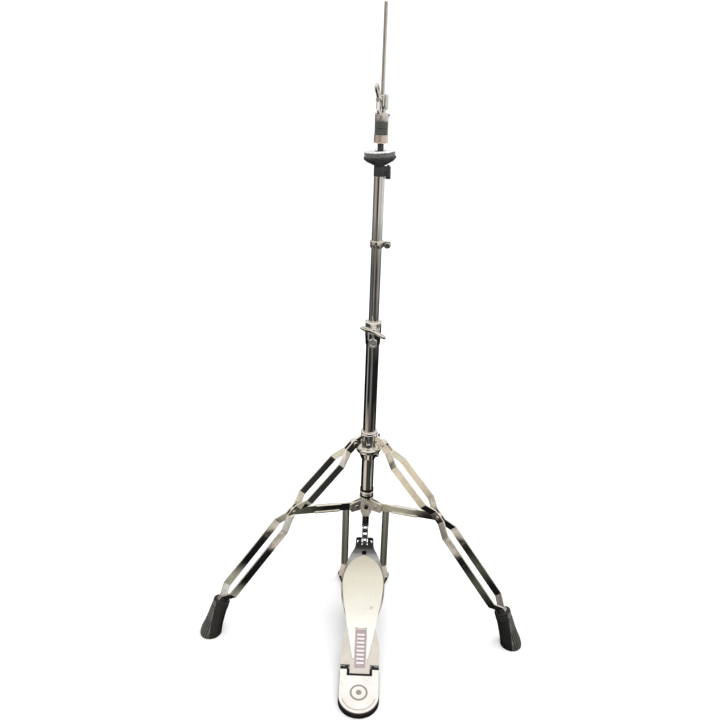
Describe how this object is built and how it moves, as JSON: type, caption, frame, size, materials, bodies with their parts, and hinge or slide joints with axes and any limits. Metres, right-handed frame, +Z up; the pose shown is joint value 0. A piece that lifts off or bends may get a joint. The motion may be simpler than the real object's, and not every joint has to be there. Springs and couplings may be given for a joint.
{
  "type": "hi-hat stand",
  "caption": "Hi-hat stand: folding strap-steel legs, chain-driven pedal, adjustable column with a tilting cymbal seat, and a clutch on the pull rod.",
  "frame": {"origin": "on the floor under the column's axis", "axes": "+Z up the column, -Y toward the player's heel plate, +X to the right as seen from the heel plate"},
  "size_m": [0.6304, 0.3934, 1.163],
  "materials": {
    "chrome": "polished",
    "plated_steel": "bright plated",
    "rod_steel": "zinc plated",
    "spring_wire": "drawn",
    "cast_aluminium": "polished casting",
    "rubber": "satin",
    "black_plastic": "satin",
    "nylon": "matte",
    "seat_felt": "pressed felt",
    "clutch_felt": "pressed felt"
  },
  "bodies": {
    "frame": {"lower_tube": "chrome", "tube_socket": "chrome", "front_bracket_plate": "plated_steel", "rear_bracket_plate": "plated_steel", "bracket_screws": "rod_steel", "brace_rivets": "rod_steel", "left_strut": "plated_steel", "right_strut": "plated_steel", "left_strut_foot": "cast_aluminium", "right_strut_foot": "cast_aluminium", "strut_crossbar": "plated_steel", "base_plate": "plated_steel", "base_rubber": "rubber", "frame_rods": "plated_steel", "heel_plate": "cast_aluminium", "heel_rubber": "rubber", "heel_hinge_pin": "rod_steel", "height_clamp": "chrome", "clamp_bushing": "nylon"},
    "tension_ring": {"spring_tension_ring": "chrome"},
    "pedal": {"footboard": "cast_aluminium", "toe_pin": "rod_steel"},
    "pull_rod": {"pull_rod": "rod_steel", "rod_clevis": "chrome", "clevis_pin": "rod_steel", "spring_collar": "rod_steel", "return_spring": "spring_wire", "cymbal_rod": "rod_steel"},
    "chain": {"chain_inner_links": "rod_steel", "chain_outer_link": "rod_steel", "chain_rollers": "rod_steel", "chain_pins": "rod_steel"},
    "hub": {"leg_hub": "chrome", "hub_sleeve": "nylon", "hub_rivets": "rod_steel"},
    "hub_wing": {"hub_wing_bolt": "chrome"},
    "left_leg": {"left_leg_front_strap": "plated_steel", "left_leg_rear_strap": "plated_steel", "left_leg_rivets": "rod_steel", "left_rubber_foot": "rubber"},
    "right_leg": {"right_leg_front_strap": "plated_steel", "right_leg_rear_strap": "plated_steel", "right_leg_rivets": "rod_steel", "right_rubber_foot": "rubber"},
    "left_brace": {"left_brace": "plated_steel"},
    "right_brace": {"right_brace": "plated_steel"},
    "height_wing": {"height_wing_bolt": "chrome"},
    "upper_column": {"upper_tube": "chrome", "seat_stem": "black_plastic", "seat_sleeve": "black_plastic"},
    "memory_lock": {"memory_lock": "chrome"},
    "lock_screw": {"memory_lock_screw": "chrome"},
    "tilter": {"tilter_screw": "black_plastic"},
    "seat": {"seat_cup": "black_plastic", "seat_felt": "seat_felt"},
    "clutch": {"clutch_body": "chrome", "clutch_felts": "clutch_felt"},
    "clutch_knurled_nut": {"clutch_knurled_nut": "chrome"},
    "clutch_lower_nut": {"clutch_lower_nut": "chrome"},
    "clutch_wing": {"clutch_wing_bolt": "chrome"}
  },
  "joints": [
    {"name": "footboard_press", "type": "hinge", "parent": "frame", "child": "pedal", "pos_m": [0, -0.261, 0.0165], "axis": [-1, 0, 0], "range_deg": [0, 11]},
    {"name": "pull_rod_slide", "type": "slide", "parent": "frame", "child": "pull_rod", "axis": [0, 0, -1], "range_m": [0, 0.0445], "stiffness_N_per_m": 600, "springref_m": -0.03, "deforming": ["return_spring"]},
    {"name": "chain_swing", "type": "hinge", "parent": "pull_rod", "child": "chain", "pos_m": [0, 0, 0.1475], "axis": [1, 0, 0], "range_deg": [0, 23.2]},
    {"name": "tension_ring_turn", "type": "hinge", "parent": "frame", "child": "tension_ring", "pos_m": [0, 0, 0.23], "axis": [0, 0, 1], "range_deg": [0, 270]},
    {"name": "hub_slide", "type": "slide", "parent": "frame", "child": "hub", "axis": [0, 0, 1], "range_m": [0, 0.15917]},
    {"name": "hub_wing_turn", "type": "hinge", "parent": "hub", "child": "hub_wing", "pos_m": [0, 0, 0.318], "axis": [0.454, 0.891, 0], "range_deg": [0, 360]},
    {"name": "left_leg_fold", "type": "hinge", "parent": "hub", "child": "left_leg", "pos_m": [-0.02886, -0.016, 0.35], "axis": [0.4848, -0.8746, 0], "range_deg": [0, 35]},
    {"name": "left_brace_fold", "type": "hinge", "parent": "frame", "child": "left_brace", "pos_m": [-0.02099, -0.01163, 0.2015], "axis": [-0.4848, 0.8746, 0], "range_deg": [0, 59.83]},
    {"name": "right_leg_fold", "type": "hinge", "parent": "hub", "child": "right_leg", "pos_m": [0.02886, -0.016, 0.35], "axis": [0.4848, 0.8746, 0], "range_deg": [0, 35]},
    {"name": "right_brace_fold", "type": "hinge", "parent": "frame", "child": "right_brace", "pos_m": [0.02099, -0.01163, 0.2015], "axis": [-0.4848, -0.8746, 0], "range_deg": [0, 59.83]},
    {"name": "upper_column_slide", "type": "slide", "parent": "frame", "child": "upper_column", "axis": [0, 0, 1], "range_m": [-0.085, 0.06]},
    {"name": "height_wing_turn", "type": "hinge", "parent": "frame", "child": "height_wing", "pos_m": [0, -0.024, 0.594], "axis": [0, -1, 0], "range_deg": [0, 360]},
    {"name": "memory_lock_slide", "type": "slide", "parent": "upper_column", "child": "memory_lock", "axis": [0, 0, 1], "range_m": [-0.057, 0.11]},
    {"name": "lock_screw_turn", "type": "hinge", "parent": "memory_lock", "child": "lock_screw", "pos_m": [0.0192, 0, 0.7545], "axis": [0, -1, 0], "range_deg": [0, 360]},
    {"name": "tilter_turn", "type": "hinge", "parent": "upper_column", "child": "tilter", "pos_m": [0.0151, 0, 0.88], "axis": [0, 0, 1], "range_deg": [-620, 540]},
    {"name": "seat_tilt", "type": "hinge", "parent": "upper_column", "child": "seat", "pos_m": [0, 0, 0.905], "axis": [0, -1, 0], "range_deg": [-4.6, 4]},
    {"name": "clutch_slide", "type": "slide", "parent": "upper_column", "child": "clutch", "axis": [0, 0, 1], "range_m": [0, 0.05]},
    {"name": "clutch_knurled_nut_turn", "type": "hinge", "parent": "clutch", "child": "clutch_knurled_nut", "pos_m": [0, 0, 0.978], "axis": [0, 0, 1], "range_deg": [-90, 180]},
    {"name": "clutch_lower_nut_turn", "type": "hinge", "parent": "clutch", "child": "clutch_lower_nut", "pos_m": [0, 0, 0.942], "axis": [0, 0, -1], "range_deg": [0, 360]},
    {"name": "clutch_wing_turn", "type": "hinge", "parent": "clutch", "child": "clutch_wing", "pos_m": [0, 0, 1.009], "axis": [-0.342, -0.9397, 0], "range_deg": [0, 360]}
  ],
  "couplings": [
    {"joint": "pull_rod_slide", "follows": "footboard_press", "m_per_rad": 0.23109},
    {"joint": "chain_swing", "follows": "footboard_press", "ratio": 2.1008},
    {"joint": "left_leg_fold", "follows": "hub_slide", "rad_per_m": 3.8377},
    {"joint": "right_leg_fold", "follows": "hub_slide", "rad_per_m": 3.8377},
    {"joint": "left_brace_fold", "follows": "hub_slide", "rad_per_m": 6.5601},
    {"joint": "right_brace_fold", "follows": "hub_slide", "rad_per_m": 6.5601},
    {"joint": "seat_tilt", "follows": "tilter_turn", "ratio": 0.007378}
  ]
}
